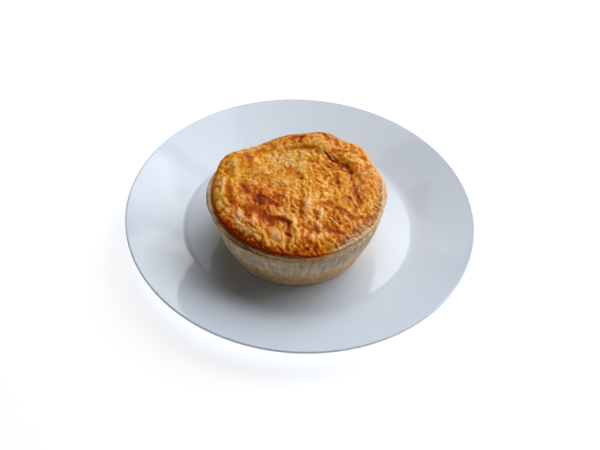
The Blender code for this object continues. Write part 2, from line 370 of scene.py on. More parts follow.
# folds and hollows of the lid: from x, y to x, y, half width, height, extra browning; two thin ridges below
# are painted paler as highlights
lidFolds = (
    # the dark red-brown patch on the left
    (-37.5, 1, -35.5, -4, 3.4, -0.3, 0.40), (-28, -1, -26, -4, 2.8, -0.2, 0.32),
    (-27, -11, -24, -15, 3.8, -0.4, 0.50), (-30, -8, -12, -9, 3.4, -0.2, 0.22),
    (-15, -4.5, -12, -6, 2.6, 0.2, 0.18), (-10.5, -2, -10, -8, 1.1, -0.4, 0.26),
    (-18, -14, -13, -17, 2.2, -0.5, 0.34), (-30, -19, -24, -26, 4.4, -0.5, 0.24),
    (-22, -25, -15, -29, 3.4, -0.6, 0.28), (-19, -30, -16, -35, 2.8, -0.6, 0.30),
    (-14, -28, -8, -29, 2.2, -0.5, 0.24),
    # the arched fold in front, and the deep glossy hollow inside it
    (-16, -24.5, -7.5, -26, 1.3, 0.3, -0.08), (-7.5, -26, -3, -31, 1.3, 0.4, -0.08),
    (-3, -31, 0, -38, 1.4, 0.4, -0.08), (0, -38, 2, -46, 1.5, 0.4, -0.06),
    (-10, -28, -6, -33, 2.3, -0.7, 0.28), (-6, -33, -4.5, -42, 2.1, -0.7, 0.30),
    (-6, -42, -3.5, -44, 1.3, -0.4, 0.28),
    # pale blisters of the front left
    (-16, -38, -10, -45, 3.2, 0.8, -0.16), (-28.5, -26, -28.5, -35, 1.5, 0.6, -0.18),
    # the thin pale ridge from -32, -36.5 to -27, -41 is a painted highlight
    (-39, -24.5, -38, -28, 1.7, 0.6, -0.22), (-32, -36.5, -27, -41, 0.7, 0.6, -0.30),
    (-32, -34.6, -27, -39.2, 0.6, -0.6, 0.35), (-50, -13, -47.5, -18, 1.6, 0.5, -0.25),
    # amber hollows of the left and the back left
    (-46, -12, -43, -16, 3.4, -0.3, 0.26), (-48.5, 3, -47, -7, 2.2, -0.3, 0.28),
    (-36, -20, -32, -28, 1.8, -0.5, 0.32), (-36, 29, -35, 23, 3.2, -0.4, 0.32),
    (-32, 36, -29, 34, 2.0, -0.3, 0.26), (-27, 41, -25, 39, 2.8, -0.3, 0.32),
    (-22, 46, -19, 44, 2.0, -0.3, 0.26), (-25.5, 33, -25, 30, 1.4, -0.3, 0.26),
    # the raised ring at the back: brown patches, and the line along its foot
    (-6, 55, 1, 55, 2.2, -0.3, 0.32), (0, 55, -1.5, 49, 1.6, -0.4, 0.40),
    (-6, 43.5, 9, 44, 1.3, -0.3, 0.24), (15.5, 60, 18, 51, 1.7, -0.4, 0.28),
    (24, 53, 25, 48, 1.4, -0.3, 0.25), (23, 41, 38, 41, 1.2, -0.4, 0.25),
    # the split, and the grooves that run on from it down the right side
    (17, 40.5, 20, 36.5, 0.6, -0.8, 0.50), (20, 36.5, 23, 31.5, 0.7, -1.2, 0.70),
    (23, 31.5, 26, 30.5, 0.8, -0.6, 0.35), (25, 31, 33, 26, 2.2, -0.2, 0.30),
    (22, 39, 26, 34, 2.4, 0.2, 0.08), (33, 26, 36, 21, 1.8, -0.3, 0.30),
    (36, 21, 36.5, 14, 1.5, -0.3, 0.36), (36.5, 14, 38, 8, 1.2, -0.3, 0.26),
    (26.5, 19, 27, 10, 1.8, -0.4, 0.32), (27, 10, 28.5, 5, 1.5, -0.4, 0.28),
    (38.5, 7, 40.5, -3, 1.8, -0.4, 0.40), (41, -3, 43, -9, 1.6, -0.3, 0.28),
    # strokes about the middle
    (-14, 27, -9, 21, 1.3, -0.4, 0.26), (-7, 21.5, -1, 17, 1.6, -0.4, 0.28),
    (20, 26, 24, 23.5, 1.0, -0.4, 0.32), (7, 31, 13, 28, 2.0, -0.4, 0.22), (15, 3, 20, 3, 0.8, -0.3, 0.28),
    (2, 0, 3.5, -7, 1.3, -0.4, 0.28),
    # the front right
    (15, -13, 21, -11, 2.2, -0.3, 0.24), (21, -11, 27, -15, 2.2, -0.4, 0.24),
    (27, -15, 30, -21, 1.4, -0.3, 0.28), (35, -23, 40, -25, 2.0, -0.3, 0.22),
    (4, -33, 9, -37, 1.9, -0.6, 0.36), (12, -34, 14.5, -39, 1.8, -0.6, 0.42),
    (21, -34, 27, -38, 2.6, -0.5, 0.32), (23.5, -24, 29, -31, 0.9, -0.6, 0.45),
    # the pale ridge from 22, -25.5 to 26.5, -29 is a painted highlight
    (22, -25.5, 26.5, -29, 1.1, 0.8, -0.35), (16.5, -20, 16, -26, 0.7, 0.6, -0.25),
    (16, -26, 13, -31, 0.7, 0.6, -0.25), (2, -12, 2.5, -26, 1.5, -0.6, 0.32),
    (11, -20, 13.5, -27, 1.6, -0.6, 0.30), (6.5, -12, 7.5, -26, 2.6, 0.6, -0.14),
    (6, -46, 13, -50.5, 2.4, -0.5, 0.28), (45, -17, 48, -19, 0.9, -0.4, 0.36),
    # broad browner places on the right
    (22, 14, 32, -16, 11.0, 0.0, 0.07), (28, -30, 40, -18, 9.0, 0.0, 0.10),
    (10, 22, 24, 18, 7.0, 0.0, 0.05), (34, -46, 48, -30, 5.0, 0.0, 0.14),
    (22, -47, 34, -43, 3.5, 0.0, 0.10), (53, -6, 50, -24, 4.0, 0.0, 0.12),
    (-48, 32, -38, 31, 4.5, 0.0, 0.09), (42, 34, 50, 30, 5.0, 0.0, 0.10), (18, 56, 26, 50, 4.0, 0.0, 0.08),
    (28, -4, 42, -8, 5.0, 0.0, 0.05), (-26, -33, -22, -32, 3.0, 0.0, 0.08),
    # broad pale places
    (-40, -28, -32, -43, 3.4, 0.2, -0.15), (-55, -1, -54, -16, 3.0, 0.2, -0.14),
    (-8, -23, 0, -30, 4.5, 0.2, -0.12), (6, 49, 20, 41, 4.5, 0.0, -0.09), (-3, 57, 4, 57, 3.0, 0.0, -0.06),
    (-17, 8, -14, 8, 4.0, 0.2, -0.09), (-32, -14, -12, -16, 2.6, 0.1, -0.05),
    (8, -33, 24, -33, 3.4, 0.1, -0.08), (12, 8, 34, 12, 8.0, 0.2, -0.06),
    (-20, 32, -2, 30, 9.0, 0.2, -0.16), (-47, 24, -44, 12, 2.2, 0.5, -0.18),
    (-52, 8, -52, -8, 1.4, 0.5, -0.20), (8, -8, 22, -6, 6.0, 0.2, -0.06),
    (30, -12, 42, -20, 4.0, 0.2, -0.08),
)
# small round scorched pits: x, y, radius, browning
lidPits = (
    (-40.5, 33.5, 0.7, 0.45), (-37.5, 33, 0.6, 0.45), (-38.5, 35.5, 0.6, 0.40), (-36, 34.5, 0.6, 0.40),
    (-39, 31.5, 0.6, 0.45), (-25, 28, 0.9, 0.50), (1.2, 12.8, 1.8, 0.55), (9.5, 25.5, 0.9, 0.45),
    (8, -53.5, 1.1, 0.60), (-14.5, -16, 1.2, 0.40), (-32, -27, 0.8, 0.45), (-18, 5, 0.8, 0.35),
    (7, 7, 1.0, 0.35), (-46, 17.5, 1.0, 0.35),
)
# the edge rolls down over this width by this much: angle, half width in degrees, width, drop
lidRolls = ((238, 32, 4.2, 1.3), (282, 22, 2.5, 1.0), (190, 25, 2.0, 0.6), (325, 32, 5.0, 2.0),
            (0, 25, 3.0, 1.2))
# dry crumbling border: angle, half width in degrees, width in mm
lidCrumbs = ((318, 19, 8.0), (347, 18, 4.4), (10, 22, 3.2), (38, 14, 1.0), (300, 8, 1.5))
# broad redder places: x, y, radius, strength
lidBlush = (
    (-25, -8, 15, 0.95), (-19, -27, 11, 0.75), (23, 35, 8, 0.8), (42, 1, 8, 0.8), (46, 19, 9, 0.7),
    (39, -38, 11, 0.9), (6, -18, 9, 0.5), (-4, 54, 10, 0.4), (24, 50, 10, 0.35), (14, -36, 10, 0.35),
    (-44, -36, 16, 0.7), (0, -57, 26, 0.5),
)
# band along the lid's edge, partly browning and partly painted shade, deepest on the front and front-left
# where the edge faces away from the lamps: angle, half width in degrees, strength
lidEdgeBrownAndShade = ((230, 20, 0.58), (262, 20, 0.36), (285, 12, 0.14), (200, 16, 0.20), (95, 40, 0.08),
                (330, 20, 0.10))


def foldFields(x, y):
    # what the folds and pits add to height and browning, with two painted highlights among it, on slightly
    # wandering lines
    bentX = x + 0.6 * waveField(x / 3.4, y / 3.4, 51) + 0.2 * waveField(x / 1.3, y / 1.3, 52)
    bentY = y + 0.6 * waveField(x / 3.4, y / 3.4, 53) + 0.2 * waveField(x / 1.3, y / 1.3, 54)
    height, bake, cover = np.zeros_like(x), np.zeros_like(x), np.zeros_like(x)
    for startX, startY, endX, endY, halfWidth, lift, browning in lidFolds:
        alongX, alongY = endX - startX, endY - startY
        length2 = max(alongX ** 2 + alongY ** 2, 1e-6)
        share = np.clip(((bentX - startX) * alongX + (bentY - startY) * alongY) / length2, 0, 1)
        away = np.hypot(bentX - startX - share * alongX, bentY - startY - share * alongY)
        weight = np.exp(-((away / halfWidth) ** 2.2))
        height += lift * weight
        bake += browning * weight
        if abs(lift) > 0.25:
            cover = np.maximum(cover, weight)
    for pitX, pitY, radius, browning in lidPits:
        weight = np.exp(-(((bentX - pitX) ** 2 + (bentY - pitY) ** 2) / radius ** 2))
        height -= 0.5 * weight
        bake += browning * weight
    return height, bake, cover


def blisterHeight(x, y):
    total = np.zeros_like(x)
    for middleX, middleY, halfLength, halfWidth, turn, height in pieShape["blisters"]:
        cosine, sine = math.cos(math.radians(turn)), math.sin(math.radians(turn))
        along = ((x - middleX) * cosine + (y - middleY) * sine) / halfLength
        across = ((y - middleY) * cosine - (x - middleX) * sine) / halfWidth
        total += height * np.exp(-along ** 2 - across ** 2)
    return total


def crestLines(x, y, size, width, seed):
    # 1 along the borders between uneven patches of the given size in mm, 0 inside them
    nearest, second = cellField(x / size, y / size, seed)
    return np.exp(-(((second - nearest) * size / (2 * width)) ** 2))


def foldLines(x, y, length, spacing, width, turn, seed):
    # 1 along wandering folds that run in the given direction, 0 between them
    cosine, sine = math.cos(math.radians(turn)), math.sin(math.radians(turn))
    along, across = x * cosine + y * sine, y * cosine - x * sine
    return np.exp(-((waveField(along / length, across / spacing, seed) / width) ** 2))


def rumples(x, y, spacing, turn, sway, seed):
    # rounded parallel folds that sway and break up; -1 to 1
    cosine, sine = math.cos(math.radians(turn)), math.sin(math.radians(turn))
    phase = (y * cosine - x * sine) / spacing * 2 * math.pi + sway * waveField(x / 7.5, y / 9.5, seed)
    return np.sin(phase) * smoothStep(waveField(x / 4.4, y / 5.4, seed + 1), -0.9, 0.5)


def wrinkleField(x, y):
    # thin broken crests of glazed skin round smooth sunken pools; finer towards the back
    warpX = 1.6 * waveField(x / 4.6, y / 4.6, 11) + 0.6 * waveField(x / 1.9, y / 1.9, 17)
    warpY = 1.6 * waveField(x / 4.6, y / 4.6, 12) + 0.6 * waveField(x / 1.9, y / 1.9, 18)
    wx, wy = x + warpX, y + warpY
    front = smoothStep(-y, -22, 22)
    right = smoothStep(x - 0.4 * y, -12, 18)
    upright = 0.5 * (1 + np.tanh(1.6 * waveField(x / 15, y / 15, 21)))
    round1 = np.maximum(crestLines(wx, wy, 8.8, 1.3, 22), 0.8 * foldLines(wx, wy, 5.5, 4.6, 0.26, 35, 23))
    long1 = (foldLines(wx, wy, 7.0, 3.5, 0.36, 84, 24) * upright
             + foldLines(wx, wy, 7.0, 3.4, 0.36, 140, 30) * (1 - upright))
    big = round1 * (1 - right) + long1 * right
    mid = foldLines(wx, wy, 3.6, 2.4, 0.36, 60, 25)
    fine = foldLines(wx, wy, 1.8, 1.4, 0.42, 110, 26)
    broken = smoothStep(waveField(x / 3.1, y / 3.1, 27), -0.7, 0.45)
    broken2 = smoothStep(waveField(x / 2.3, y / 2.3, 28), -0.3, 0.6)
    swell = waveField(wx / 4.2, wy / 4.2, 29)
    patch = (np.tanh(2.0 * waveField(wx / 3.0, wy / 5.4, 46)) * front
             + np.tanh(2.0 * waveField(wx / 3.3, wy / 3.6, 48)) * (1 - front))
    dots = np.tanh(1.6 * waveField(wx / 1.3, wy / 1.6, 47)) * (1 - 0.4 * front)
    bigShare = (0.45 + 0.55 * front) * broken
    midShare = (0.85 - 0.25 * front) * broken2
    fineShare = 1.0 - 0.5 * front
    upper = rumples(x, y, 4.6, 88, 4.2, 71) * upright + rumples(x, y, 4.9, 132, 4.2, 73) * (1 - upright)
    rumple = upper * (0.35 + 0.65 * front)
    height = (lidLook["bigCrest"] * bigShare * big + lidLook["midCrest"] * midShare * mid
              + lidLook["fineCrest"] * fineShare * fine * broken2 + lidLook["swell"] * (swell + 0.5 * patch)
              + lidLook["rumple"] * rumple + 0.04 * dots - 0.35)
    tone = (0.32 * bigShare * big + 0.24 * midShare * mid + 0.10 * fineShare * fine * broken2 + 0.25 * swell
            + 0.38 * patch + 0.10 * dots + 0.30 * rumple - 0.16)
    return height, tone


def lidTop(x, y, angle, share):
    # height and browning of the lid's upper face
    radius = np.hypot(x, y)
    insideRing = 1 - smoothStep(radius, pieShape["ringRadius"] - pieShape["ringSoft"],
                                pieShape["ringRadius"] + pieShape["ringSoft"])
    sink = pieShape["ringSink"] * insideRing * smoothStep(y, -25, 25)
    foldHeight, foldBrowningAndHighlights, cover = foldFields(x, y)
    wrinkle, tone = wrinkleField(x, y)
    calm = 1 - 0.55 * smoothStep(share, 0.93, 1.0)  # lower relief at the very edge
    plain = 1 - 0.65 * cover  # the random puckers give way to the named folds
    height = (seamHeight(angle, share) + pieShape["lidGap"] + pieShape["lidThick"]
              + pieShape["lidDome"] * (1 - share ** 2) - sink
              + (blisterHeight(x, y) + foldHeight + wrinkle * plain) * calm)
    blotch = 0.10 * waveField(x / 9, y / 9, 31) + 0.07 * waveField(x / 3.5, y / 3.5, 32)
    inward = (1 - share) * lidRadius(angle)  # mm in from the edge
    rollWidth = 3.5 + lobeSum(angle, [roll[:3] for roll in lidRolls])
    rollDrop = 0.5 + lobeSum(angle, [(roll[0], roll[1], roll[3]) for roll in lidRolls])
    rolled = np.clip(1 - inward / rollWidth, 0, 1)
    height -= rollDrop * rolled ** 1.7
    # browning and painted shade along the rolled edge, strongest on the front-left
    edgeBrownAndShade = lobeSum(angle, lidEdgeBrownAndShade)
    wander = inward + 1.1 * waveField(x / 3.0, y / 3.0, 33) + 0.5 * waveField(x / 1.2, y / 1.2, 36)
    edge = 1 - smoothStep(wander / rollWidth, 0.12, 0.95)
    crumbWidth = lobeSum(angle, lidCrumbs)
    crumb = smoothStep(crumbWidth - inward + 1.6 * waveField(x / 2.6, y / 2.6, 37), -1.6, 4.2)
    crumb = crumb * smoothStep(crumbWidth, 0.3, 1.2)
    sway = 4.0 * waveField(x / 6.5, y / 6.5, 38)
    curl = np.sin(sway + 1.5 * inward + 2.6 * waveField(x / 2.4, y / 2.4, 39))
    grain = waveField(x / 1.5, y / 1.5, 44)
    height += crumb * (0.13 * curl + 0.07 * grain + 0.04 * waveField(x / 0.9, y / 0.9, 40))
    bake = lidLook["baseBake"] - lidLook["wrinkleBake"] * tone * plain + foldBrowningAndHighlights + blotch + edgeBrownAndShade * edge
    crumbBake = 0.52 - 0.22 * smoothStep(crumbWidth - inward, 1.5, 7.0) - 0.13 * curl - 0.05 * grain
    crumbBake = crumbBake + 0.14 * waveField(x / 4, y / 4, 45)
    bake = bake * (1 - crumb) + crumb * crumbBake
    blush = 0.22 + 0.35 * waveField(x / 7, y / 7, 34)
    for middleX, middleY, reach, strength in lidBlush:
        blush += strength * np.exp(-((x - middleX) ** 2 + (y - middleY) ** 2) / reach ** 2)
    return height, bake, np.clip(blush, 0, 1), edgeBrownAndShade, crumb


def discGrid(cells):
    # a square grid bent into a disc: how far out each point lies, as a share, and its angle
    side = np.linspace(-1, 1, cells + 1)
    a, b = np.meshgrid(side, side, indexing="ij")
    wide = np.abs(a) > np.abs(b)
    safeA = np.where(a == 0, 1e-9, a)
    safeB = np.where(b == 0, 1e-9, b)
    share = np.where(wide, np.abs(a), np.abs(b))
    angle = np.where(wide, math.pi / 4 * b / safeA, math.pi / 2 - math.pi / 4 * a / safeB)
    behind = np.where(wide, a < 0, b < 0)
    return share, np.mod(np.where(behind, angle + math.pi, angle), 2 * math.pi)


def makeLid():
    share, angle = discGrid(lidLook["cells"])
    rim = lidLook["topShare"]
    share = share * rim
    ragged = lidLook["ragged"] * waveField(np.cos(angle) * 9 + 20, np.sin(angle) * 9 + 20, 41)
    radius = share * (lidRadius(angle) + ragged * smoothStep(share, 0.8, rim))
    x, y = radius * np.cos(angle), radius * np.sin(angle)
    height, bake, blush, edgeBrownAndShade, crumb = lidTop(x, y, angle, share)
    points = [np.stack([x, y, height], -1).reshape(-1, 3)]
    bakes, blushes, bares = [bake.reshape(-1)], [blush.reshape(-1)], [crumb.reshape(-1)]
    number = np.arange(x.size).reshape(x.shape)
    corners = [number[:-1, :-1], number[1:, :-1], number[1:, 1:], number[:-1, 1:]]
    faces = np.stack(corners, -1).reshape(-1, 4).tolist()
    # the border of the grid, once round, anticlockwise
    border = np.concatenate([number[:-1, 0], number[-1, :-1], number[:0:-1, -1], number[0, :0:-1]])
    fields = (angle, height, bake, edgeBrownAndShade, blush, radius, crumb, ragged)
    (rimAngle, rimTop, rimBake, rimBrownAndShade, rimBlush, rimRadius, rimCrumb,
     rimRagged) = (field.reshape(-1)[border] for field in fields)
    loops = [border.tolist()]

    def addLoop(r, z, loopBake, loopBare):
        start = sum(len(part) for part in points)
        points.append(np.stack([r * np.cos(rimAngle), r * np.sin(rimAngle), z], -1))
        bakes.append(np.broadcast_to(loopBake, r.shape))
        bares.append(np.broadcast_to(loopBare, r.shape))
        blushes.append(rimBlush)
        loops.append((start + np.arange(len(border))).tolist())
        faces.extend(ringFaces(loops[-1], loops[-2]))

    bottom = seamHeight(rimAngle, 1) + pieShape["lidGap"]
    outer = lidRadius(rimAngle) + rimRagged
    roundX = pieShape["lidRadius"] * np.cos(rimAngle)
    roundY = pieShape["lidRadius"] * np.sin(rimAngle)
    for row in range(1, lidLook["edgeRows"] + 1):
        down = row / lidLook["edgeRows"]  # share of the way down the edge
        ease = math.sin(min(1.0, down / 0.45) * math.pi / 2)
        z = rimTop + (bottom - rimTop) * down ** 1.25
        # flaky leaves stand out and fall back below the glazed edge
        layer = waveField(roundX / 4 + 40, roundY / 4 + 9 * down, 42)
        leaf = 0.35 * math.sin(down * 5.5 * math.pi) * smoothStep(down, 0.3, 0.5)
        r = rimRadius + (outer - rimRadius) * ease + leaf * (1 + 0.8 * layer) + 0.30 * layer * down
        r = r - 0.5 * smoothStep(down, 0.85, 1.0)
        settle = smoothStep(down, 0.0, 0.3)
        flaky = smoothStep(down, 0.3, 0.7)
        # the edge band's browning and painted shade go on down the side
        mottled = 0.46 + 0.16 * waveField(roundX / 5, roundY / 5 + 3 * down, 43) + rimBrownAndShade
        stripes = 0.20 + 0.16 * np.sin(9 * down + 2.5 * waveField(roundX / 3, roundY / 3, 48))
        glazed = rimBake * (1 - settle) + settle * mottled - flaky * stripes
        fade = rimCrumb * smoothStep(down, 0.0, 0.2)
        dry = 0.18 + 0.14 * layer + 0.12 * math.cos(down * 5.5 * math.pi)
        addLoop(r, z, glazed * (1 - fade) + fade * dry, np.maximum(rimCrumb, 0.8 * flaky))
    # the hidden underside
    for inner in (0.9, 0.6):
        underside = seamHeight(rimAngle, inner) + pieShape["lidGap"]
        addLoop(lidRadius(rimAngle) * inner, underside, 0.1, 1)
    middle = sum(len(part) for part in points)
    floor = seamHeight(np.zeros(1), np.zeros(1))[0] + pieShape["lidGap"]
    points.append(np.array([[0, 0, floor]]))
    last = loops[-1]
    faces += [(last[(k + 1) % len(last)], last[k], middle) for k in range(len(last))]
    lid = meshObject("pastryLid", np.concatenate(points), faces,
                     {"bake": np.clip(np.concatenate(bakes + [[0.1]]), 0.07, 0.84),
                      "blush": np.concatenate(blushes + [[0]]), "bare": np.concatenate(bares + [[1]])})
    fixNormals(lid)
    return lid


def fixNormals(piece):
    shape = bmesh.new()
    shape.from_mesh(piece.data)
    bmesh.ops.recalc_face_normals(shape, faces=shape.faces)
    shape.to_mesh(piece.data)
    shape.free()
    piece.data.shade_smooth()


def lidMaterial():
    made, tree, shader = nodeMaterial("brownedPuffPastry")
    where = addNode(tree, "ShaderNodeTexCoord").outputs["Object"]
    bare = attributeNode(tree, "bare")
    blotch = centredNoise(tree, where, *lidLook["blotch"], detail=5, distortion=0.5)
    speck = centredNoise(tree, where, *lidLook["speck"], rough=0.6)
    # the bake attribute is browning, with the edge band's painted shade and two painted highlights in it
    total = mathNode(tree, "ADD", attributeNode(tree, "bake"), blotch)
    total = mathNode(tree, "ADD", total, speck, clamp=True)
    crusts = ("goldStops", "blushStops", "bareStops")
    gold, red, dry = (rampNode(tree, total, lidLook[label]) for label in crusts)
    glazed = mixNode(tree, attributeNode(tree, "blush"), gold, red)
    ends = dict(zip(("From Min", "From Max", "To Min", "To Max"),
                    lidLook["goldenToBrown"] + lidLook["roughness"]))
    rough = addNode(tree, "ShaderNodeMapRange", {"Value": total, **ends}).outputs["Result"]
    dryness = mathNode(tree, "MULTIPLY", bare, lidLook["bareRoughness"])
    setSockets(tree, shader, {
        "Base Color": mixNode(tree, bare, glazed, dry),
        "Roughness": mathNode(tree, "ADD", rough, dryness),
        "Normal": bumpNode(tree, noiseNode(tree, where, lidLook["grain"]), *lidLook["bump"]),
        "IOR": lidLook["ior"],
        "Specular IOR Level": lidLook["shine"],
        "Specular Tint": (*lidLook["glazeTint"], 1),
        "Subsurface Weight": lidLook["glow"],
        "Subsurface Radius": lidLook["glowReach"],
        "Subsurface Scale": lidLook["glowDepth"] * mm,
    })
    return made


lid = makeLid()
lid.data.materials.append(lidMaterial())
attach(lid, "root")
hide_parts("pastry_lid")
print("lid made:", len(lid.data.polygons), "faces")


# the pastry case
caseLook = {
    "around": 900,
    "wallRows": 48,
    "lipRows": 22,
    "creaseDepth": 0.34,
    "creaseCount": 190,
    "creaseRise": 90.0,  # how fast the creases change up the wall, per m
    "seed": 5,
    "crumb": 0.22,
    "crumbScale": 520.0,
    "ragged": 0.45,
    "roughness": 0.78,
    "shine": 0.3,
    "blotch": (260, 0.25),  # noise scale and how far it moves the browning
    "grain": 1600,  # noise scale of the finest relief
    "bump": (0.5, 0.15 * mm),  # its strength and depth
    # painted shade: the crests of the creases are painted lighter and their troughs darker
    "creaseShade": -0.55,  # how much a crest of the creases lightens the crust
    # share of the lip's height, how far the leaf stands out in mm, half its thickness as a share
    "lipLeaves": ((0.06, 0.45, 0.06), (0.95, 0.50, 0.08), (0.52, 0.20, 0.05)),
    # how brown the lip is: angle, half width in degrees, strength
    "lipBrown": ((233, 18, 0.78), (274, 30, 0.43), (198, 12, 0.15)),
    # how deep the gap between lip and lid is, and how much darker it is painted as shade there: angle, half
    # width in degrees, mm
    "lipGaps": ((186, 16, 1.3),),
    # where it is pale and crumbling instead
    "lipCrumbs": ((318, 26, 1.1), (350, 30, 1.0), (20, 24, 0.6)),
    "tanStops": ((0.0, (0.93, 0.66, 0.38)), (0.25, (0.79, 0.47, 0.22)), (0.5, (0.57, 0.28, 0.09)),
                 (0.75, (0.24, 0.085, 0.012)), (1.0, (0.08, 0.018, 0.003))),
    # grey crust, used on the lip and, as painted cool shade, on the wall under the lip
    "greyStops": ((0.0, (0.88, 0.74, 0.54)), (0.25, (0.67, 0.51, 0.35)), (0.5, (0.51, 0.35, 0.21)),
                  (0.75, (0.24, 0.15, 0.08)), (1.0, (0.08, 0.04, 0.02))),
}


def wallRadius(height):
    left = 1 - np.minimum(1, height / pieShape["wallHeight"])
    return pieShape["footRadius"] + pieShape["flare"] * (1 - left ** pieShape["flarePower"])


def makeCaseShell():
    # rings from the middle of the bottom, up the side, round the lip and in under the lid
    count = caseLook["around"]
    angle = np.arange(count) * 2 * math.pi / count
    roundX, roundY = pieShape["lidRadius"] * np.cos(angle), pieShape["lidRadius"] * np.sin(angle)
    lipLobe = lobeSum(angle, pieShape["lipLobes"])
    wallLobe = lobeSum(angle, pieShape["wallLobes"])
    brown = np.clip(lobeSum(angle, caseLook["lipBrown"]), 0, 1)
    crumbly = np.clip(lobeSum(angle, caseLook["lipCrumbs"]), 0, 1)
    foot = pieShape["footRadius"]
    wallTop = foot + pieShape["flare"]
    wall, out, thick = pieShape["wallHeight"], pieShape["lipOut"], pieShape["lipThick"]
    # on the upper wall the browning and the greyness hold painted cool shade under the lip
    rings = []  # radius, height, browning, greyness, how much of the creases shows

    def ring(radius, height, bake, grey, crease):
        rings.append([np.broadcast_to(value, count) for value in (radius, height, bake, grey, crease)])

    ring(foot * 0.5 + 0.5 * wallLobe, 0, 0.5, 0, 0)
    ring(foot - 4 + wallLobe, 0, 0.5, 0, 0)
    ring(foot - pieShape["footRound"] + wallLobe, 0, 0.4, 0, 0)
    ring(foot - 0.6 + wallLobe, 0.2, 0.15, 0, 0.2)
    # the wall is tan below this line and greyer above it; the grey, and the darkening towards the lip above
    # it, are painted cool shade under the lip
    line = (0.56 + 0.09 * waveField(roundX / 11, roundY / 11, 62)
            + 0.05 * waveField(roundX / 2, roundY / 2, 63))
    for share in np.linspace(0.02, 0.995, caseLook["wallRows"]):
        height = wall * share
        radius = wallRadius(height) + lipLobe * share ** 2 + wallLobe * (1 - share)
        grey = smoothStep(share, line - 0.12, line + 0.14)
        spread = 0.10 * waveField(roundX / 6, roundY / 6 + 7 * share, 64)
        tan = 0.02 + 0.26 * smoothStep(share, 0.03, 0.20) - 0.06 * smoothStep(share, 0.3, 0.42)
        # painted shade: darker towards the lip
        upper = 0.10 + 0.26 * smoothStep(share, 0.50, 0.80) + 0.14 * smoothStep(share, 0.85, 1.0)
        bake = tan * (1 - grey) + upper * grey + spread
        crease = 0.35 + 0.65 * smoothStep(share, 0.35, 0.65)
        ring(radius, height + rimSwell(angle, share), bake, grey, crease)
    ragged = caseLook["ragged"] * waveField(np.cos(angle) * 13 + 60, np.sin(angle) * 13 + 60, 61)
    for share in np.linspace(0.03, 1.0, caseLook["lipRows"]):
        # a flaky lip of thin leaves, standing out of the wall
        wander = (share + 0.11 * waveField(roundX / 9, roundY / 9, 65)
                  + 0.06 * waveField(roundX / 2.4, roundY / 2.4, 66))
        leaf = np.zeros(count)
        for middle, stand, halfThick in caseLook["lipLeaves"]:
            leaf = leaf + stand * np.exp(-(((wander - middle) / halfThick) ** 2))
        swirl = waveField(roundX / 1.7 + 3 * share, roundY / 1.7 + 3 * share, 67)
        bulge = out * math.sin(math.pi * min(1.0, 0.12 + 0.8 * share)) ** 0.7
        radius = (wallTop + 0.55 * bulge - 0.45 + lipLobe + ragged
                  + leaf * (1 - 0.3 * crumbly + 0.9 * brown) + 0.30 * swirl * (0.4 + crumbly + 0.5 * brown))
        bands = np.exp(-(((wander - 0.33) / 0.22) ** 2)) + 0.8 * np.exp(-(((wander - 0.72) / 0.16) ** 2))
        bake = (0.26 + 0.14 * waveField(roundX / 4, roundY / 4 + 4 * share, 68)
                + brown * (0.12 + 0.80 * bands) - 0.30 * leaf)
        bake = bake + brown * (0.16 * waveField(roundX / 1.9, roundY / 1.9 + 3 * share, 69) - 0.40 * leaf)
        bake = bake * (1 - 0.75 * crumbly) + 0.75 * crumbly * (0.26 - 0.22 * swirl)
        ring(radius, wall + thick * share + rimSwell(angle, 1), bake, 0.75 * (1 - brown), 0.35)
    # the lip's upper face runs in under the lid; it is painted darker further in and where it dips into the
    # gap, as painted shade under the lid
    lidEdge = lidRadius(angle)
    lipTop = wallTop + lipLobe + 0.5 * ragged
    gap = lobeSum(angle, caseLook["lipGaps"])
    for share in (0.25, 0.5, 0.75, 1.0):
        radius = lipTop * (1 - share) + (lidEdge - 2.5) * share
        dip = gap * smoothStep(share, 0.2, 0.75)
        bake = 0.22 + 0.35 * share + 0.1 * brown + 0.3 * dip
        ring(radius, seamHeight(angle, radius / lidEdge) - dip, bake, 0.3, 0)
    for share in (0.8, 0.5):
        ring(lidEdge * share, seamHeight(angle, share), 0.4, 0, 0)
    points = [np.stack([r * np.cos(angle), r * np.sin(angle), z], -1) for r, z, _, _, _ in rings]
    bakes = np.clip(np.concatenate([one[2] for one in rings]), 0, 1.1)
    greys = np.clip(np.concatenate([one[3] for one in rings]), 0, 1)
    creases = np.concatenate([one[4] for one in rings])
    faces = []
    numbers = [(np.arange(count) + count * k).tolist() for k in range(len(rings))]
    for lower, upper in zip(numbers, numbers[1:]):
        faces += ringFaces(lower, upper)
    low, high = len(rings) * count, len(rings) * count + 1
    points.append(np.array([[0, 0, 0.0]]))
    points.append(np.array([[0, 0, pieShape["wallHeight"] + pieShape["lipThick"]]]))
    faces += [(numbers[0][(k + 1) % count], numbers[0][k], low) for k in range(count)]
    faces += [(numbers[-1][k], numbers[-1][(k + 1) % count], high) for k in range(count)]
    shell = meshObject("pastryCase", np.concatenate(points), faces,
                       {"bake": np.append(bakes, [0.5, 0.4]), "grey": np.append(greys, [0, 0]),
                        "creaseShare": np.append(creases, [0, 0])})
    fixNormals(shell)
    return shell


def treeWithInputs(name, inputs):
    tree = bpy.data.node_groups.new(name, "GeometryNodeTree")
    tree.interface.new_socket("Geometry", in_out="INPUT", socket_type="NodeSocketGeometry")
    for label, kind, value in inputs:
        socket = tree.interface.new_socket(label, in_out="INPUT", socket_type=kind)
        if value is not None:
            socket.default_value = value
    tree.interface.new_socket("Geometry", in_out="OUTPUT", socket_type="NodeSocketGeometry")
    return tree


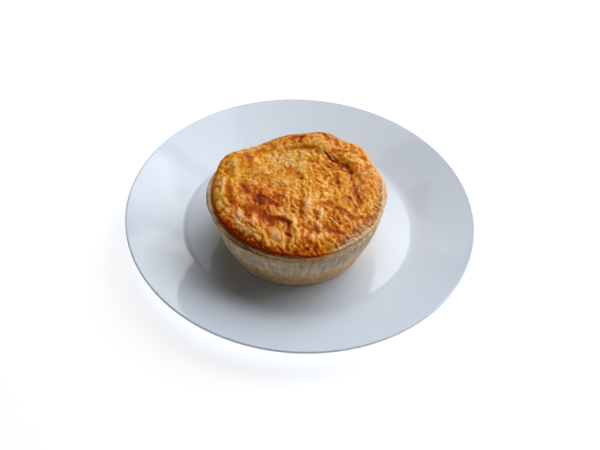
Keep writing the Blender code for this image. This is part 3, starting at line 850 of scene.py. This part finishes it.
def closeTree(tree, material, geometry):
    # makes instances real, sets the material and leads out of the tree
    real = addNode(tree, "GeometryNodeRealizeInstances", {0: geometry})
    paint = addNode(tree, "GeometryNodeSetMaterial", {"Geometry": real.outputs[0], "Material": material})
    addNode(tree, "NodeGroupOutput", {0: paint.outputs[0]})
    return tree


def setInputs(modifier, values):
    for item in modifier.node_group.interface.items_tree:
        if item.item_type == "SOCKET" and item.in_out == "INPUT" and item.name in values:
            modifier[item.identifier] = values[item.name]


def bakeTree(piece, tree, values, material):
    # runs the tree on the piece, keeps the result as a plain mesh and takes the modifier off
    modifier = piece.modifiers.new("shape", "NODES")
    modifier.node_group = tree
    setInputs(modifier, {**values, "Material": material})
    depsgraph = bpy.context.evaluated_depsgraph_get()
    result = bpy.data.meshes.new_from_object(piece.evaluated_get(depsgraph))
    piece.modifiers.remove(modifier)
    old = piece.data
    piece.data = result
    bpy.data.meshes.remove(old)
    result.name = piece.name
    return piece


def creaseTree():
    numbers = ("Crease depth", "Crease count", "Crumb height", "Seed")
    inputs = [(label, "NodeSocketFloat", None) for label in numbers]
    inputs += [("Pie middle", "NodeSocketVector", None), ("Material", "NodeSocketMaterial", None)]
    tree = treeWithInputs("creasedWall", inputs)
    size = addNode(tree, "NodeGroupInput").outputs
    calc = partial(mathNode, tree)
    position = addNode(tree, "GeometryNodeInputPosition").outputs[0]
    terms = {0: position, 1: size["Pie middle"]}
    place = addNode(tree, "ShaderNodeVectorMath", terms, operation="SUBTRACT").outputs[0]
    apart = addNode(tree, "ShaderNodeSeparateXYZ", {0: place}).outputs
    turn = calc("ARCTAN2", apart["Y"], apart["X"])
    around = calc("DIVIDE", size["Crease count"], 2 * math.pi)
    column = aroundAxis(tree, turn, around, calc("MULTIPLY", apart["Z"], caseLook["creaseRise"]))
    folds = {"Vector": column, "W": size["Seed"], "Scale": 1.0, "Detail": 3.0, "Roughness": 0.6}
    noise = addNode(tree, "ShaderNodeTexNoise", folds, noise_dimensions="4D").outputs["Fac"]
    crease = calc("MULTIPLY", calc("SUBTRACT", noise, 0.5), 2.0)
    share = addNode(tree, "GeometryNodeInputNamedAttribute", {"Name": "creaseShare"}, data_type="FLOAT")
    shown = calc("MULTIPLY", crease, share.outputs["Attribute"])
    crumbs = noiseNode(tree, place, caseLook["crumbScale"], detail=4.0, rough=0.5)
    crumb = calc("MULTIPLY", calc("SUBTRACT", crumbs, 0.5), size["Crumb height"])
    lift = calc("ADD", calc("MULTIPLY", shown, size["Crease depth"]), crumb)
    kept = {"Name": "crease", "Geometry": size["Geometry"], "Value": shown}
    store = addNode(tree, "GeometryNodeStoreNamedAttribute", kept, data_type="FLOAT", domain="POINT")
    normal = addNode(tree, "GeometryNodeInputNormal").outputs[0]
    offset = addNode(tree, "ShaderNodeVectorMath", {0: normal, "Scale": lift}, operation="SCALE").outputs[0]
    moved = {"Geometry": store.outputs["Geometry"], "Offset": offset}
    move = addNode(tree, "GeometryNodeSetPosition", moved)
    return closeTree(tree, size["Material"], move.outputs[0])


def caseMaterial():
    made, tree, shader = nodeMaterial("paleShortcrust")
    where = addNode(tree, "ShaderNodeTexCoord").outputs["Object"]
    blotch = centredNoise(tree, where, *caseLook["blotch"], detail=5, rough=0.6)
    # the bake attribute is browning, with painted shade under the lip and in under the lid
    total = mathNode(tree, "ADD", attributeNode(tree, "bake"), blotch)
    shade = mathNode(tree, "MULTIPLY", attributeNode(tree, "crease"), caseLook["creaseShade"])
    total = mathNode(tree, "ADD", total, shade, clamp=True)
    tan, raw = (rampNode(tree, total, caseLook[label]) for label in ("tanStops", "greyStops"))
    grain = noiseNode(tree, where, caseLook["grain"], detail=4, rough=0.6)
    setSockets(tree, shader, {
        "Base Color": mixNode(tree, attributeNode(tree, "grey"), tan, raw),
        "Roughness": caseLook["roughness"],
        "Specular IOR Level": caseLook["shine"],
        "Normal": bumpNode(tree, grain, *caseLook["bump"]),
    })
    return made


creaseSizes = {
    "Crease depth": caseLook["creaseDepth"] * mm,
    "Crease count": float(caseLook["creaseCount"]),
    "Crumb height": caseLook["crumb"] * mm,
    "Seed": float(caseLook["seed"]),
    "Pie middle": tuple(pieMiddle),
}
case = bakeTree(makeCaseShell(), creaseTree(), creaseSizes, caseMaterial())
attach(case, "root")
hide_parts("pastry_case")
print("case made:", len(case.data.polygons), "faces")


# the plate
plateLook = {
    "Segments": 220,
    "Rows": 96,
    "Radius": 125 * mm,
    "Floor height": 4.5 * mm,
    "Bend start": 80 * mm,
    "Bend end": 87 * mm,
    "Rim slope": 0.366,
    "Wall at floor": 3.3 * mm,
    "Wall at edge": 2.6 * mm,
    "Foot inner": 66 * mm,
    "Foot outer": 72 * mm,
    "Inner slope": 1.2 * mm,
    "Outer slope": 4 * mm,
}
plateGlaze = {
    "colour": (0.757, 0.850, 0.975),
    "patches": 45,  # noise scale of the uneven roughness
    "roughness": (0.065, 0.105),
    "ior": 1.5,
}


def plateTree():
    counts = ("Segments", "Rows")
    kinds = {label: "NodeSocketInt" if label in counts else "NodeSocketFloat" for label in plateLook}
    inputs = [(label, kinds[label], value) for label, value in plateLook.items()]
    tree = treeWithInputs("turnedPlate", inputs + [("Material", "NodeSocketMaterial", None)])
    size = addNode(tree, "NodeGroupInput").outputs
    calc = partial(mathNode, tree)

    def smooth(value, low, high):
        ends = {"Value": value, "From Min": low, "From Max": high}
        return addNode(tree, "ShaderNodeMapRange", ends, interpolation_type="SMOOTHSTEP").outputs["Result"]

    sheets = []
    for upper in (True, False):
        columns = calc("ADD", size["Segments"], 1)
        square = {"Size X": 1.0, "Size Y": 1.0, "Vertices X": columns, "Vertices Y": size["Rows"]}
        grid = addNode(tree, "GeometryNodeMeshGrid", square)
        position = addNode(tree, "GeometryNodeInputPosition").outputs[0]
        apart = addNode(tree, "ShaderNodeSeparateXYZ", {0: position}).outputs
        turn = calc("MULTIPLY", calc("ADD", apart["X"], 0.5), 2 * math.pi)
        outward = calc("SINE", calc("MULTIPLY", calc("ADD", apart["Y"], 0.5, clamp=True), math.pi / 2))
        radius = calc("MULTIPLY", outward, size["Radius"])
        # the upper face: flat floor, a short bend, then a straight rim
        width = calc("SUBTRACT", size["Bend end"], size["Bend start"])
        share = calc("DIVIDE", calc("SUBTRACT", radius, size["Bend start"]), width, clamp=True)
        easing = calc("SUBTRACT", 1.0, calc("MULTIPLY", share, 0.5))
        bend = calc("MULTIPLY", calc("POWER", share, 3.0), easing)
        beyond = calc("MAXIMUM", calc("SUBTRACT", radius, size["Bend end"]), 0.0)
        rise = calc("MULTIPLY", calc("ADD", calc("MULTIPLY", bend, width), beyond), size["Rim slope"])
        top = calc("ADD", size["Floor height"], rise)
        thin = calc("MULTIPLY", calc("SUBTRACT", size["Wall at floor"], size["Wall at edge"]), outward)
        wall = calc("SUBTRACT", size["Wall at floor"], thin)
        middle = calc("SUBTRACT", top, calc("MULTIPLY", wall, 0.5))
        # half the wall, rounded off to nothing over the last stretch of the edge
        edge = calc("MULTIPLY", size["Wall at edge"], 0.5)
        beforeEdge = calc("SUBTRACT", size["Radius"], edge)
        last = calc("DIVIDE", calc("SUBTRACT", radius, beforeEdge), edge, clamp=True)
        roundOff = calc("SQRT", calc("SUBTRACT", 1.0, calc("MULTIPLY", last, last)))
        half = calc("MULTIPLY", calc("MULTIPLY", wall, 0.5), roundOff)
        height = calc("ADD" if upper else "SUBTRACT", middle, half)
        if not upper:
            footStart = calc("SUBTRACT", size["Foot inner"], size["Inner slope"])
            footEnd = calc("ADD", size["Foot outer"], size["Outer slope"])
            footIn = smooth(radius, footStart, size["Foot inner"])
            footOut = calc("SUBTRACT", 1.0, smooth(radius, size["Foot outer"], footEnd))
            height = calc("MULTIPLY", height, calc("SUBTRACT", 1.0, calc("MULTIPLY", footIn, footOut)))
        moved = {"Geometry": grid.outputs["Mesh"], "Position": aroundAxis(tree, turn, radius, height)}
        sheet = addNode(tree, "GeometryNodeSetPosition", moved).outputs[0]
        if upper:
            sheet = addNode(tree, "GeometryNodeFlipFaces", {"Mesh": sheet}).outputs[0]
        sheets.append(sheet)
    join = addNode(tree, "GeometryNodeJoinGeometry")
    for sheet in sheets:
        tree.links.new(sheet, join.inputs[0])
    weld = {"Geometry": join.outputs[0], "Distance": 0.002 * mm}
    whole = addNode(tree, "GeometryNodeMergeByDistance", weld).outputs[0]
    soft = addNode(tree, "GeometryNodeSetShadeSmooth", {"Geometry": whole})
    return closeTree(tree, size["Material"], soft.outputs[0])


def plateMaterial():
    made, tree, shader = nodeMaterial("whiteOpalGlass")
    where = addNode(tree, "ShaderNodeTexCoord").outputs["Object"]
    low, high = plateGlaze["roughness"]
    ends = {"Value": noiseNode(tree, where, plateGlaze["patches"]), "To Min": low, "To Max": high}
    setSockets(tree, shader, {
        "Base Color": (*plateGlaze["colour"], 1),
        "Roughness": addNode(tree, "ShaderNodeMapRange", ends).outputs["Result"],
        "IOR": plateGlaze["ior"],
    })
    return made


plateStart = bpy.data.objects.new("plate", bpy.data.meshes.new("plateStart"))
scene.collection.objects.link(plateStart)
plate = bakeTree(plateStart, plateTree(), plateLook, plateMaterial())
plate.name = "opalPlate"
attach(plate, "root")
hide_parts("plate")
print("plate made:", len(plate.data.polygons), "faces")
